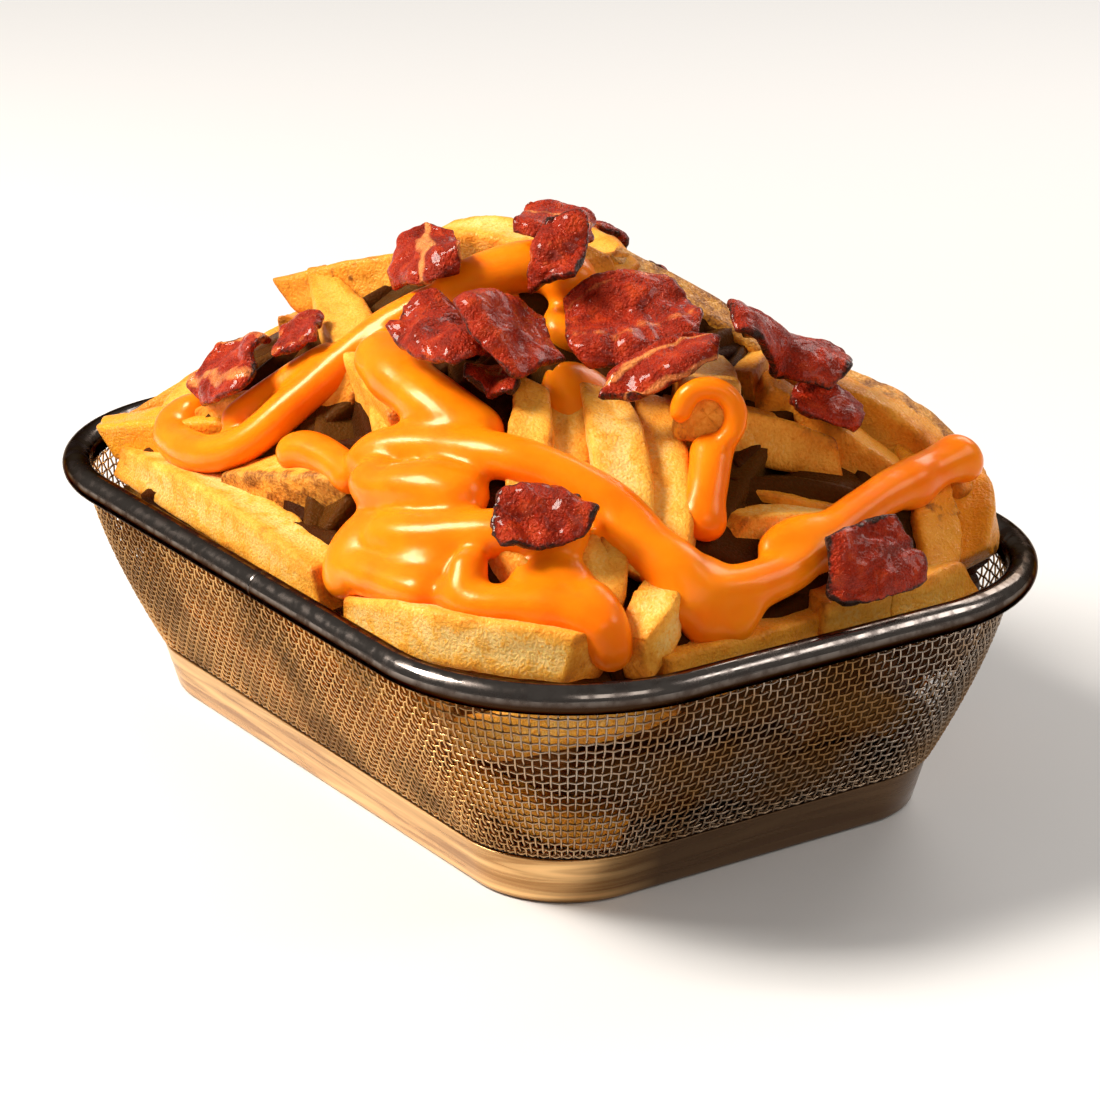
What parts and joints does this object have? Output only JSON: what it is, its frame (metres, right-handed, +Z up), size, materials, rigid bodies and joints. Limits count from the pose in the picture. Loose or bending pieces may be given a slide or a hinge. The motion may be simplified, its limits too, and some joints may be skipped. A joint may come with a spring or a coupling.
{
  "type": "cheese fries in a wire-mesh serving basket",
  "caption": "Heap of thick-cut fries with poured cheese sauce and bacon pieces in a rectangular woven-wire serving basket with rolled rim and foot band.",
  "frame": {"origin": "centre of the basket on the surface that it stands on", "axes": "+X along the basket's long side, +Y along its short side, +Z up"},
  "size_m": [0.2294, 0.1668, 0.135],
  "materials": {
    "polished_steel": "polished stainless steel, slightly brushed along the rim",
    "steel_wire": "plain-weave stainless wire, about 10 wires to the inch",
    "fried_potato": "crisp golden potato with pale faces and browned edges and skin",
    "cheese_sauce": "smooth glossy orange-yellow cheese sauce",
    "bacon": "glossy fried bacon, dark red to pink with charred edges"
  },
  "bodies": {
    "root": {"basket_rim": "polished_steel", "basket_mesh": "steel_wire", "basket_foot": "polished_steel", "fries": "fried_potato", "bacon_front": "bacon", "bacon_far_left": "bacon", "bacon_left": "bacon", "bacon_left_top": "bacon", "bacon_centre_low": "bacon", "bacon_centre_left": "bacon", "bacon_lobe": "bacon", "bacon_big": "bacon", "bacon_strip": "bacon", "bacon_top_twist": "bacon", "bacon_top": "bacon", "bacon_right": "bacon", "bacon_right_low": "bacon", "bacon_right_front": "bacon", "bacon_back_high": "bacon", "bacon_back_low": "bacon", "bacon_left_far": "bacon"}
  },
  "joints": []
}
